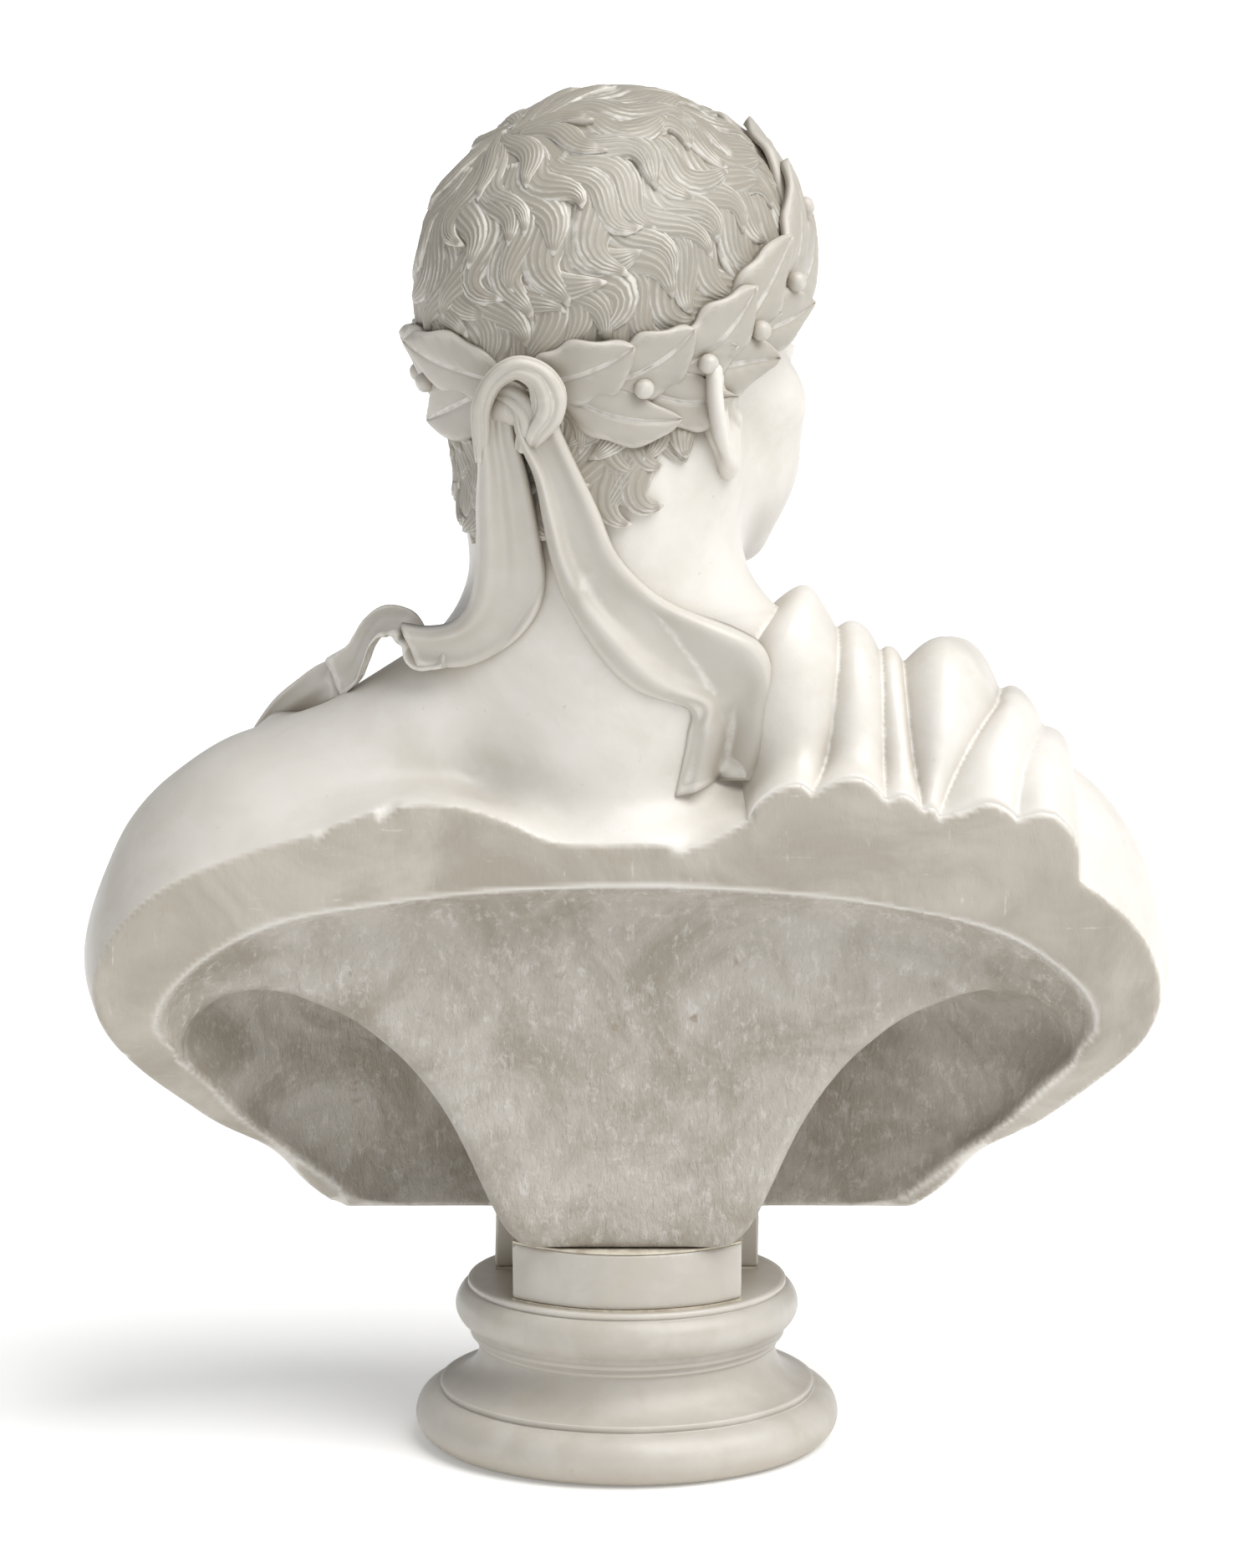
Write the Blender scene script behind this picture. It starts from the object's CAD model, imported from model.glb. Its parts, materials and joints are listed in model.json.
import json
import math

import bpy
import numpy as np
import openvdb
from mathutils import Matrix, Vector

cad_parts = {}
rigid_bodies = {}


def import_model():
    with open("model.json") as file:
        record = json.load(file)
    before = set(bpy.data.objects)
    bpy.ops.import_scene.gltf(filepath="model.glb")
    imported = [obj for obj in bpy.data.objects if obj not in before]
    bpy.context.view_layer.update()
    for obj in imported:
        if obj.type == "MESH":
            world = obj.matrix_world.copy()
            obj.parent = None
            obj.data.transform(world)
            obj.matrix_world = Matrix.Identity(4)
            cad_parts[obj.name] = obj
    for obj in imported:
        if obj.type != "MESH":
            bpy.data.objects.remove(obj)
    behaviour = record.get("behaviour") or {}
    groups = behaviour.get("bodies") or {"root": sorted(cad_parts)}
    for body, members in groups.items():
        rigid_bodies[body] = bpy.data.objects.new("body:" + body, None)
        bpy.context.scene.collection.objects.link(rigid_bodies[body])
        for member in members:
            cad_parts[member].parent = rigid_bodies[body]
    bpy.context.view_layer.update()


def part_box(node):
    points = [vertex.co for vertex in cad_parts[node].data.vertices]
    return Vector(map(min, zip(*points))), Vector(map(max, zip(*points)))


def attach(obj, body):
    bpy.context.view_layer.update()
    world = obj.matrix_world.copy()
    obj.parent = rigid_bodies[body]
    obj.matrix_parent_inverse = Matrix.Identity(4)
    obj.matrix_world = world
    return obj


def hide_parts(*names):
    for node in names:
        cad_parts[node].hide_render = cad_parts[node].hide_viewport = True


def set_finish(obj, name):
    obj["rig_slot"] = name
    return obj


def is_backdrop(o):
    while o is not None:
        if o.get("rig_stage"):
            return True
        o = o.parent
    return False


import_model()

# Lengths are in millimetres until a mesh is made.
MM = 0.001

# ---------- driving places, from the frame ----------

HEAD_C = np.array([6.0, -10.0, 560.0])     # centre of the skull
HEAD_TURN = math.radians(44)               # the head turns to its own right
FOOT_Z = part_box("back_pillar")[0].z / MM   # underside of the bust
BACK_Y = 76.0                              # the back is sawn flat here
SEAM_Z = 408.0                             # where the torso's mesh hands over to the head's
CAP_C = np.array([0.0, 2.0, 0.0])          # the cap of hair, in the head's frame, and its half sizes
CAP = np.array([78.0, 100.0, 89.5])


# ---------- distance fields ----------
# A field takes points as rows and gives the distance to a surface, negative inside.

def length(v):
    return np.sqrt(np.einsum("ij,ij->i", v, v))


def sphere(p, c, r):
    return length(p - np.array(c, float)) - r


def ellipsoid(p, c, r):
    q = (p - np.array(c, float)) / np.array(r, float)
    k = length(q)
    return k * (k - 1) / np.maximum(length(q / np.array(r, float)), 1e-9)


def capsule(p, a, b, ra, rb=None):
    a, b = np.array(a, float), np.array(b, float)
    t = np.clip((p - a) @ (b - a) / ((b - a) @ (b - a)), 0, 1)
    return length(p - a - t[:, None] * (b - a)) - (ra + ((ra if rb is None else rb) - ra) * t)


def smin(a, b, k):
    h = np.maximum(k - np.abs(a - b), 0) / k
    return np.minimum(a, b) - h * h * k / 4


def smax(a, b, k):
    return -smin(-a, -b, k)


def smooth(t):
    t = np.clip(t, 0, 1)
    return t * t * (3 - 2 * t)


def unit(v):
    return v / np.maximum(np.linalg.norm(v, axis=-1, keepdims=True), 1e-6)


def moulded(d, *steps):
    """The form d with each (shape, rounding) added to it, or cut from it where the rounding is negative."""
    for shape, k in steps:
        d = smin(d, shape, k) if k > 0 else smax(d, -shape, -k)
    return d


def fineness(step):
    return step


def eased(v, places, values, reach=12):
    """Values between given places, with the corners rounded off."""
    return sum(np.interp(v + k * reach, places, values) for k in np.linspace(-1, 1, 9)) / 9


def mirrored(p, soft=1.5):
    """Points folded to the +X side, rounded over the middle plane."""
    m = p.copy()
    m[:, 0] = np.sqrt(m[:, 0] ** 2 + soft * soft)
    return m


def to_head(p):
    c, s = math.cos(HEAD_TURN), math.sin(HEAD_TURN)
    v = p - HEAD_C
    return np.stack([v[:, 0] * c - v[:, 1] * s, v[:, 0] * s + v[:, 1] * c, v[:, 2]], 1)


def from_head(q):
    c, s = math.cos(HEAD_TURN), math.sin(HEAD_TURN)
    return np.stack([q[:, 0] * c + q[:, 1] * s, q[:, 1] * c - q[:, 0] * s, q[:, 2]], 1) + HEAD_C


def gradient(field, p, e=0.4):
    corners = np.array([[1, -1, -1], [-1, -1, 1], [-1, 1, -1], [1, 1, 1]], float)
    g = sum(k * field(p + k * e)[:, None] for k in corners) / (4 * e)
    return g


def settle(field, p, steps=2, level=0.0):
    """Points moved onto the surface where the field has this level."""
    for _ in range(steps):
        g = gradient(field, p)
        p = p - g * ((field(p) - level) / np.maximum(np.einsum("ij,ij->i", g, g), 1e-3))[:, None]
    return p


def field_mesh(field, lo, hi, step, block=8, slack=1.6):
    """Vertices and quads of the surface where the field is zero, meshed on a grid of this step."""
    lo, hi = np.array(lo, float), np.array(hi, float)
    blocks = np.ceil((hi - lo) / (step * block)).astype(int)
    n = blocks * block
    far = step * 4
    values = np.full(n, far, np.float32)
    corner = np.stack(np.meshgrid(*[np.arange(b) for b in blocks], indexing="ij"), -1).reshape(-1, 3)
    at_middle = field(lo + (corner + 0.5) * block * step)
    reach = step * block * math.sqrt(3) / 2 * slack
    for c in corner[at_middle < -reach]:
        i, j, k = c * block
        values[i:i + block, j:j + block, k:k + block] = -far
    inner = np.stack(np.meshgrid(*[np.arange(block)] * 3, indexing="ij"), -1).reshape(-1, 3)
    near = corner[np.abs(at_middle) <= reach]
    for part in np.array_split(near, max(1, len(near) // 400)):
        cells = (part[:, None, :] * block + inner[None]).reshape(-1, 3)
        d = field(lo + cells * step)
        values[cells[:, 0], cells[:, 1], cells[:, 2]] = np.clip(d, -far, far)
    grid = openvdb.FloatGrid(background=far)
    grid.copyFromArray(values)
    points, triangles, quads = grid.convertToPolygons(isovalue=0.0, adaptivity=0.0)
    points = lo + np.asarray(points, float) * step
    moves = settle(field, points, 2) - points
    moves *= np.minimum(1, step / np.maximum(length(moves), 1e-6))[:, None]
    return points + moves, np.asarray(quads, int)


# ---------- meshes ----------

def signed_volume(v, faces):
    a, b, c = v[faces[:, 0]], v[faces[:, 1]], v[faces[:, 2]]
    total = np.einsum("ij,ij->", a, np.cross(b, c))
    if faces.shape[1] == 4:
        d = v[faces[:, 3]]
        total += np.einsum("ij,ij->", a, np.cross(c, d))
    return total


def relief_of(mesh, points, passes):
    """How far each vertex lies below (+) or above (-) its smoothed surroundings, in millimetres."""
    edges = np.zeros(len(mesh.edges) * 2, np.int32)
    mesh.edges.foreach_get("vertices", edges)
    ends, others = np.r_[edges[0::2], edges[1::2]], np.r_[edges[1::2], edges[0::2]]
    normals = np.zeros(len(points) * 3, np.float32)
    mesh.vertex_normals.foreach_get("vector", normals)
    count = np.maximum(np.bincount(ends, minlength=len(points)), 1)
    smoothed = points.copy()
    for _ in range(passes):
        for i in range(3):
            total = np.bincount(ends, weights=smoothed[others, i], minlength=len(points))
            smoothed[:, i] = 0.5 * smoothed[:, i] + 0.5 * total / count
    return np.einsum("ij,ij->i", smoothed - points, normals.reshape(-1, 3))


def piece(name, points, quads, triangles=None, slot="bust_marble", stands_for=(), passes=8, gain=1.0,
          **attributes):
    """A finished object from points in millimetres: closed, smooth, riding on the bust."""
    faces = quads.tolist() + ([] if triangles is None else triangles.tolist())
    if signed_volume(points, quads) < 0:
        faces = [f[::-1] for f in faces]
    mesh = bpy.data.meshes.new(name)
    mesh.from_pydata((points * MM).tolist(), [], faces)
    mesh.polygons.foreach_set("use_smooth", np.ones(len(faces), bool))
    mesh.update()
    attributes["relief"] = gain * relief_of(mesh, points, passes)
    for key, value in attributes.items():
        values = np.full(len(points), value, np.float32)
        mesh.attributes.new(key, "FLOAT", "POINT").data.foreach_set("value", values)
    obj = bpy.data.objects.new(name, mesh)
    bpy.context.scene.collection.objects.link(obj)
    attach(obj, "root")
    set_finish(obj, slot)
    if stands_for:
        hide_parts(*stands_for)
    return obj


def lofts(rings):
    """Closed tubes: rings is (tubes, rings, points, 3). Returns vertices, quads and the end triangles."""
    tubes, m, n, _ = rings.shape
    base = (np.arange(tubes) * m * n)[:, None, None]
    k = (np.arange(m - 1) * n)[None, :, None]
    i = np.arange(n)[None, None, :]
    j = (i + 1) % n
    quads = np.stack([base + k + i, base + k + j, base + k + n + j, base + k + n + i], -1).reshape(-1, 4)
    ends = np.concatenate([rings[:, 0].mean(1), rings[:, -1].mean(1)])
    first = tubes * m * n + np.arange(tubes)[:, None]
    b = base[:, :, 0]
    i, j = i[0], j[0]
    start = np.stack([b + j, b + i, first + 0 * i], -1).reshape(-1, 3)
    end = np.stack([b + (m - 1) * n + i, b + (m - 1) * n + j, first + tubes + 0 * i], -1).reshape(-1, 3)
    return np.concatenate([rings.reshape(-1, 3), ends]), quads, np.concatenate([start, end])


def sheet_solid(top, under):
    """A closed slab between two grids of points, each (rows, columns, 3)."""
    rings = np.concatenate([top, under[:, ::-1]], 1)
    return lofts(rings[None])


def curve(points, n):
    """n points on a smooth curve through the given ones."""
    p = np.array(points, float)
    p = np.concatenate([[2 * p[0] - p[1]], p, [2 * p[-1] - p[-2]]])
    t = np.linspace(0, len(p) - 3, n)
    i = np.minimum(t.astype(int), len(p) - 4)
    f = (t - i)[:, None]
    a, b, c, d = p[i], p[i + 1], p[i + 2], p[i + 3]
    return b + 0.5 * f * (c - a + f * (2 * a - 5 * b + 4 * c - d + f * (3 * (b - c) + d - a)))


# ---------- the figure ----------

def neck_field(p):
    d = capsule(p, (8, 4, 372), (12, 6, 470), 67, 62)
    d = smin(d, capsule(p, (12, 6, 470), (22, 6, 505), 60, 56), 20)
    mastoid = from_head(np.array([[60.0, 10, -70], [-60, 10, -70]]))
    for bone, side in zip(mastoid, (1, -1)):
        d = smin(d, capsule(p, bone, (16 * side, -60, 384), 11, 7), 22)
    return smin(d, ellipsoid(p, (-12, -56, 430), (9, 8, 15)), 14)


def torso_mass(p):
    m = mirrored(p, 11)
    arm = smin(ellipsoid(m, (172, 0, 243), (84, 92, 98)), ellipsoid(m, (196, 30, 232), (60, 110, 56)), 20)
    arm = smax(arm, (m[:, 0] - m[:, 2]) * 0.707 - 31, 22)
    chest = smin(ellipsoid(p, (0, -42, 262), (165, 94, 90)), ellipsoid(p, (0, -20, 180), (165, 62, 90)), 30)
    chest = smin(chest, ellipsoid(m, (106, -38, 172), (72, 60, 68)), 44)
    back = smin(ellipsoid(m, (104, 25, 273), (88, 80, 56)), ellipsoid(p, (2, 15, 268), (80, 79, 61)), 26)
    trapezius = capsule(m, (30, 18, 398), (160, 5, 312), 30, 32)
    d = smin(smin(chest, back, 30), arm, 20)
    return smin(d, trapezius, 30)


def body_field(p):
    m = mirrored(p, 11)
    return moulded(
        torso_mass(p),
        (ellipsoid(m, (76, -92, 262), (74, 45, 50)), 26),
        (capsule(m, (26, -78, 364), (165, -38, 340), 6, 7), 26),
        (ellipsoid(m, (70, -68, 386), (30, 14, 12)), -20),
        (capsule(p, (0, -152, 300), (0, -148, 205), 10), -26),
        (sphere(p, (0, -96, 380), 11), -20),
        (capsule(m, (122, -132, 296), (140, -118, 232), 8), -20),
        (capsule(m, (160, -112, 214), (176, -78, 158), 7), -18),
        (capsule(p, (4, 101, 300), (6, 96, 372), 13), -24),
        (ellipsoid(m, (146, -22, 333), (20, 24, 12)), 22),
        (ellipsoid(m, (90, 70, 294), (42, 14, 26)), 22))


def tooling(p):
    """The slight unevenness of a surface finished by hand."""
    x, y, z = p[:, 0], p[:, 1], p[:, 2]
    return 0.3 * np.sin(x / 13 + np.sin(z / 21)) * np.sin(y / 15 + 1) * np.sin(z / 11 + np.sin(x / 17))


def face_features(q, m, d):
    """Cheekbones, jaw, cheeks, chin, muzzle, temples, brows and eye sockets."""
    return moulded(
        d,
        (ellipsoid(m, (38, -60, -58), (22, 20, 17)), 22),
        (capsule(m, (44, -8, -86), (16, -68, -120), 14, 13), 22),
        (ellipsoid(m, (30, -58, -88), (24, 24, 26)), 22),
        (ellipsoid(q, (0, -80, -127), (18, 15, 14)), 14),
        (ellipsoid(q, (0, -68, -97), (27, 24, 22)), 14),
        (ellipsoid(m, (88, -54, -8), (13, 22, 22)), -18),
        (capsule(m, (12, -85.5, -15), (30, -83, -10.5), 3.6, 4), 10),
        (capsule(m, (30, -83, -10.5), (48, -66, -17), 4, 1.5), 12),
        (ellipsoid(m, (31, -92.5, -31), (17, 14, 11.5)), -8))


def eyes(m, d):
    ball = (31, -68, -32)
    e = m - np.array(ball, float)
    arch = 1 - (e[:, 0] / 15) ** 2
    z = e[:, 2] - 0.05 * e[:, 0]
    opening = np.maximum(z - 5.0 * arch, -4.0 * arch - z) * 0.85
    lids = smax(sphere(m, ball, 16.8), -opening, 0.7)
    crease = capsule(m, (20, -86.5, -24.5), (43, -80, -25.5), 0.8)
    return smax(np.minimum(smin(d, lids, 2.5), sphere(m, ball, 14.4)), -crease, 2.2)


def nose(q, m, d):
    return moulded(
        d,
        (capsule(q, (0, -82, -22), (0, -100, -64), 6.2, 7.4), 7),
        (ellipsoid(q, (0, -104, -69), (8.6, 9, 8)), 6),
        (ellipsoid(m, (10, -94, -72.5), (6, 9.5, 6.6)), 5),
        (capsule(q, (0, -104, -76), (0, -89, -80), 3.6), 3),
        (ellipsoid(m, (6, -98, -81), (2.8, 6, 4)), -1.5))


def mouth(q, m, d):
    upper = smin(capsule(m, (0, -93.3, -95.6), (8, -92.6, -94.9), 3.8, 3.6),
                 capsule(m, (8, -92.6, -94.9), (24, -87.2, -99), 3.6, 1.4), 3)
    lower = smin(capsule(m, (0, -92.6, -104), (9, -91.4, -103.6), 4.6, 4.2),
                 capsule(m, (9, -91.4, -103.6), (23, -86.8, -100.2), 4.2, 1.4), 3)
    return moulded(
        d,
        (upper, 3),
        (lower, 3),
        (capsule(m, (0, -97.8, -99.6), (12, -95.4, -99.2), 1.1), -1.6),
        (capsule(m, (12, -95.4, -99.2), (25.5, -88.6, -99.9), 1.0), -1.6),
        (capsule(q, (0, -97, -84), (0, -97.5, -89), 2.0), -3),
        (capsule(m, (0, -96.4, -114), (10, -95, -113.4), 4.4), -7))


HAIRLINE = {0: 42, 25: 42, 40: 32, 52: 14, 62: -2, 70: -36, 80: -38, 90: -14, 104: -20,
            115: -58, 135: -86, 160: -100, 180: -102}


def above_hairline(q):
    """Height over the edge of the hair, from the front round to the nape."""
    turn = np.degrees(np.arctan2(np.abs(q[:, 0]), -q[:, 1]))
    return q[:, 2] - np.interp(turn, list(HAIRLINE), list(HAIRLINE.values()))


def skull_field(q):
    """The head without its features."""
    return moulded(
        ellipsoid(q, (0, 8, -2), (73, 92, 86)),
        (ellipsoid(q, (0, -38, -4), (57, 48, 44)), 16),
        (ellipsoid(q, (0, -35, -56), (57, 50, 60)), 16),
        (ellipsoid(q, (0, -42, -101), (45, 43, 42)), 16),
        (ellipsoid(q, (0, 30, -56), (52, 48, 44)), 20))


def head_field(q):
    m = mirrored(q)
    d = face_features(q, m, skull_field(q))
    d = mouth(q, m, nose(q, m, eyes(m, d)))
    edge = above_hairline(q) - 16 * smooth((q[:, 1] - 20) / 30)
    return smin(d, smax(ellipsoid(q, CAP_C, CAP), -0.8 * edge, 7), 3)


def figure_field(p):
    return smin(smin(body_field(p), neck_field(p), 26), head_field(to_head(p)), 12) + tooling(p)


def saw_y(z):
    """The sawn back: upright above, sweeping forward to the foot."""
    return BACK_Y - 96 * smooth((225 - z) / 120)


# The edge of the hollow on the sawn back, right half, from the foot up to the middle of the top.
HOLLOW_EDGE = np.array([(-1.0, 109), (60, 109.5), (96, 110), (128, 113), (139, 120), (158, 138),
                        (180, 160), (194, 182), (206, 196), (214, 208), (217, 221), (208, 237),
                        (188, 253), (157, 266), (115, 274), (66, 279), (20, 281), (-1, 281)])
HOLLOW_C = np.array([0.0, 195.0])


def hollow_radii():
    """Angles and radii of the hollow's edge about its centre, evenly rounded."""
    x, z = (curve(np.insert(HOLLOW_EDGE, 1, 0, axis=1), 240)[:, [0, 2]] - HOLLOW_C).T
    return np.arctan2(z, x), np.hypot(x, z)


def hollow_field(p):
    angles, radii = hollow_radii()
    x, z = np.abs(p[:, 0]), p[:, 2] - HOLLOW_C[1]
    edge = (np.hypot(x, z) - np.interp(np.arctan2(z, x), angles, radii)) * 0.85
    depth = saw_y(p[:, 2]) - p[:, 1]
    reach = eased(p[:, 2], (108, 130, 165, 200, 240, 281), (9, 34, 62, 84, 80, 46))
    bowl = 66 * (np.maximum(depth, 0) / reach) ** 2.4
    return np.minimum(edge + bowl, 60 + edge * 0.1) * 0.6


def fan_rise(x):
    """Height of the pillar's edge at this half width: it spreads like a fan and turns down at the rim."""
    return eased(x, (53, 66, 81, 103, 130, 162, 182, 200, 217, 240),
                 (108, 130, 165, 195, 217, 229.5, 231, 226, 212, 190), 9)


def pillar_field(p):
    x, y, z = np.abs(p[:, 0]), p[:, 1], p[:, 2]
    rear = 56.4 + 0.00078 * (z - 240) ** 2
    steep = np.interp(x, (53, 81, 103, 130, 162, 200), (1.9, 1.7, 1.2, 0.75, 0.3, 0.4))
    side = np.maximum((fan_rise(x) - z) / np.sqrt(1 + steep ** 2), x - 235)
    return smax(smax(side, y - rear, 9), -90 - y, 5)


def cloaked(p, body):
    """The body with the cloak's mass at the sawn back, so that one face is cut through both."""
    here = (p[:, 0] < -40) & (p[:, 1] > 10) & (p[:, 2] > 230)
    d = body.copy()
    if here.any():
        d[here] = np.minimum(d[here], cloth_solid(p[here]) + 0.8)
    return d


def wear(p):
    """Rounding of the sawn face's outer edge, broader where it is chipped."""
    x, z = p[:, 0], p[:, 2]
    chips = np.sin(x / 10.7 + 2.3 * np.sin(z / 17)) * np.sin(x / 4.3 + z / 6 + 1) + 0.6 * np.sin(x / 23 + 2.2)
    return 1.6 + 7 * smooth((chips - 0.7) / 0.6) * (0.35 + 0.65 * smooth((x - 40) / 60))


def shell_field(p):
    x, y, z = p.T
    body = smin(body_field(p), neck_field(p), 26) + tooling(p)
    ripple = 0.35 * np.sin(x / 19 + z / 31) * np.sin(z / 9)
    sawn = smax(cloaked(p, body), (y - saw_y(z) + ripple) / 1.25, wear(p))
    carved = smax(sawn, -hollow_field(p), 5)
    inside = np.maximum(body + 16 - 300 * smooth((192 - np.abs(x)) / 30), z - 288)
    whole = smin(carved, smax(pillar_field(p), inside, 6), 18)
    return smax(whole, FOOT_Z - z, 1.5)


def pillar_zone(p):
    """Negative where the surface is the pillar's piece: its fan and the ceiling over it, inside the rim."""
    x, y, z = np.abs(p[:, 0]), p[:, 1], p[:, 2]
    edge = fan_rise(x) - 12 - z
    behind = y - 68 - 200 * smooth((250 - z) / 30) - 200 * smooth((150 - x) / 40) * smooth((262 - z) / 10)
    return np.maximum(np.maximum(np.maximum(edge / 1.5, -y - 6), np.maximum(z - 292, behind)), x - 160)


def torso_field(p):
    above = np.maximum(p[:, 2] - SEAM_Z, 0)
    inset = 3 * (above / 20) ** 2 + 0.4 * smooth((-1 - pillar_zone(p)) / 4)
    return np.maximum(shell_field(p) + inset, p[:, 2] - SEAM_Z - 22)


def pillar_piece_field(p):
    zone = pillar_zone(p)
    return np.maximum(shell_field(p) + 0.5 * smooth((zone + 5) / 4), np.clip(zone, -18, 12))


def head_piece_field(p):
    below = np.maximum(SEAM_Z - p[:, 2], 0)
    around = length(p[:, :2] - np.array([8.0, 0])) - 96 - 1.2 * np.maximum(p[:, 2] - 398, 0)
    limit = np.maximum(SEAM_Z - 20 - p[:, 2], around)
    return np.maximum(figure_field(p) + 3 * (below / 18) ** 2, limit)


def make_torso():
    points, quads = field_mesh(torso_field, (-262, -158, 104), (262, 84, 436), fineness(2.4), slack=2.6)
    behind = points[:, 1] - saw_y(points[:, 2])
    piece("torso_marble", points, quads, stands_for=["torso"], gain=0.35,
          tooled=smooth((3 - hollow_field(points)) / 2) * smooth((-0.7 - behind) / 1.2),
          sawn=smooth((behind + 1.0) / 0.8), age=0.3 * smooth((points[:, 0] - 90) / 130))


def make_pillar():
    low, high = (-170, -10, 104), (170, 84, 296)
    points, quads = field_mesh(pillar_piece_field, low, high, fineness(2.0), slack=2.6)
    piece("pillar_tooled", points, quads, slot="tooled_marble", stands_for=["back_pillar"], tooled=1, sawn=0)


def make_head():
    points, quads = field_mesh(head_piece_field, (-112, -128, 384), (112, 106, 660), fineness(1.35))
    q = to_head(points)
    age = smooth(above_hairline(q) / 6) * smooth((q[:, 2] + 80) / 20)
    piece("head_marble", points, quads, stands_for=["head", "neck"], passes=10, gain=0.5, age=age)


# ---------- ears ----------

def ear_field(q):
    """An ear on the +X side of the head's frame."""
    lean = 0.16
    s = q[:, 1] - 5 - lean * (q[:, 2] + 52)
    t = q[:, 2] + 52
    n = q[:, 0] - 75 - 0.5 * s
    e = np.stack([n, s, t], 1)
    round_by = np.sqrt((s / 14.5) ** 2 + (t / 26) ** 2)
    turn = np.degrees(np.arctan2(s, t))
    helix = np.hypot((round_by - 1) * 17, n - 2) - 4.9 + 2.5 * smooth((np.abs(turn - 35) - 95) / 40)
    fold = np.hypot((round_by - 0.6) * 17, n - 2) - 2.5 + 2.5 * smooth((np.abs(turn - 60) - 70) / 30)
    d = moulded(
        ellipsoid(e, (-1.5, -1, 0), (5.0, 14, 25)),
        (ellipsoid(e, (-5, 2, -5), (8.5, 13.5, 22)), 5),
        (helix, 2),
        (fold, 2),
        (ellipsoid(e, (6, -4, -6), (8, 6.5, 9)), -2),
        (ellipsoid(e, (2, -12, -8), (4, 3.5, 5)), 2),
        (ellipsoid(e, (-3, -1, -26.5), (9, 10, 10.5)), 5),
        (ellipsoid(e, (-8, -9, -4), (10, 6, 20)), 4),
        (ellipsoid(e, (-12, -6, -20), (14, 8, 14)), 5))
    return smax(d, t - 16 - 0.4 * s, 4)


def make_ear(side, name, node):
    def placed(p):
        q = to_head(p)
        q[:, 0] *= side
        return ear_field(q)
    middle = from_head(np.array([[78.0 * side, 5, -53]]))[0]
    points, quads = field_mesh(placed, middle - 40, middle + 40, fineness(0.9))
    piece(name, points, quads, stands_for=[node])


# ---------- hair ----------

WHORL = np.array([0.14, 0.57, 0.81]) / np.linalg.norm([0.14, 0.57, 0.81])   # on the cap made round
CAP_R = 92.0                                                               # its mean radius


def guide_field(p):
    """The surface that hair, leaves and ribbon lie on."""
    q = to_head(p)
    head = smin(skull_field(q), ellipsoid(q, CAP_C, CAP), 6)
    return smin(smin(body_field(p), neck_field(p), 26), head, 14)


def turned_from_head(v):
    return from_head(v) - HEAD_C


def on_cap(theta, around):
    """A point of the cap at this angle from the whorl."""
    e1 = unit(np.cross(WHORL, [1.0, 0, 0]))
    e2 = np.cross(WHORL, e1)
    ring = np.cos(around)[:, None] * e1 + np.sin(around)[:, None] * e2
    u = np.cos(theta)[:, None] * WHORL + np.sin(theta)[:, None] * ring
    return from_head(u * CAP + CAP_C)


def behind_ear(q):
    """Negative inside the place of an ear."""
    return np.where(np.abs(q[:, 0]) > 55, np.hypot((q[:, 1] - 2) / 17, (q[:, 2] + 50) / 32) - 1, 1)


def lock_lines(roots, lengths, swing, wave, phase, hook, steps=30):
    """Centre lines of locks from their roots along the flow of the hair: points, normals, lengths used."""
    p = settle(guide_field, roots, 3)
    lines, normals, used = [], [], lengths.copy()
    step = lengths / (steps - 1)
    for k in range(steps):
        n = unit(gradient(guide_field, p))
        q = to_head(p)
        u = unit((q - CAP_C) / CAP)
        near = u @ WHORL
        flow = turned_from_head((near[:, None] * u - WHORL) * CAP)
        down = smooth((-q[:, 2] - 45) / 40)[:, None]
        flow = unit(flow) * (1 - down) + np.array([0, 0, -1.0]) * down
        flow = unit(flow - np.einsum("ij,ij->i", flow, n)[:, None] * n)
        along = CAP_R * np.arccos(np.clip(near, -1, 1))
        s = k / (steps - 1)
        swings = swing * (0.25 + 0.75 * smooth((along - 12) / 50))
        turn = swings * np.sin(2 * math.pi * along / wave + phase) + 0.7 * np.exp(-along / 15)
        turn += hook * smooth((s - 0.45) / 0.55)
        t = flow * np.cos(turn)[:, None] + np.cross(n, flow) * np.sin(turn)[:, None]
        lines.append(p)
        normals.append(n)
        reach = np.where(q[:, 1] > 20, np.where(q[:, 0] > 25, -12, -30), -8)
        outside = (above_hairline(q) < reach) | (behind_ear(q) < 0)
        used = np.where(outside & (used > k * step), k * step, used)
        p = settle(guide_field, p + t * step[:, None], 1)
    return np.stack(lines, 1), np.stack(normals, 1), used


def resampled(values, share, n):
    """The first part of each line, evenly in n places."""
    m = values.shape[1]
    t = np.linspace(0, 1, n)[None, :] * share[:, None] * (m - 1)
    i = np.clip(t.astype(int), 0, m - 2)
    f = (t - i)[..., None]
    rows = np.arange(len(values))[:, None]
    return values[rows, i] * (1 - f) + values[rows, i + 1] * f


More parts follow.
